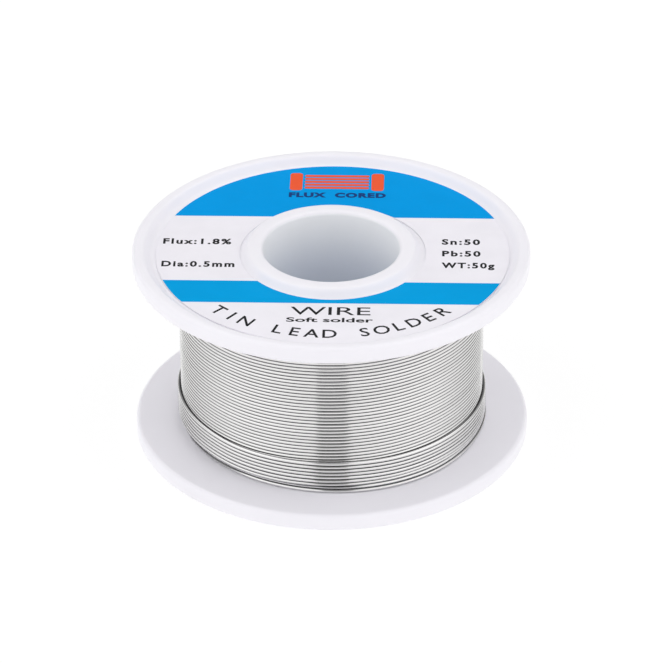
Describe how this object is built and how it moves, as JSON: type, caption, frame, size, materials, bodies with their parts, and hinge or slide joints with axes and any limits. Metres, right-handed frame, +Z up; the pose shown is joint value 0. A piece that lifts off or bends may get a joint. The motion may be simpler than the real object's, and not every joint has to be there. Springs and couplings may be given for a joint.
{
  "type": "solder wire spool",
  "caption": "White moulded spool wound with fine flux-cored solder wire, with raised rims and collars, a plain bore and a round printed label on the upper flange.",
  "frame": {"origin": "centre of the base, on the bore's axis, where the lower rim and collar stand", "axes": "+Z up along the bore, towards the labelled flange; +Y towards the top edge of the label's print"},
  "size_m": [0.053, 0.053, 0.028],
  "materials": {
    "white_plastic": "satin moulded white plastic, slightly translucent",
    "printed_film": "white film label with printed blue bands, semi-gloss",
    "solder": "bright drawn tin-lead solder wire",
    "rosin_flux": "amber rosin flux"
  },
  "bodies": {
    "root": {"spool_half_lower": "white_plastic", "spool_half_upper": "white_plastic", "label": "printed_film", "wire_layer_1": "solder", "wire_layer_2": "solder", "wire_layer_3": "solder", "wire_layer_4": "solder", "wire_layer_5": "solder", "wire_layer_6": "solder", "wire_top_turns": "solder", "wire_end": "solder", "flux_core": "rosin_flux"}
  },
  "joints": []
}
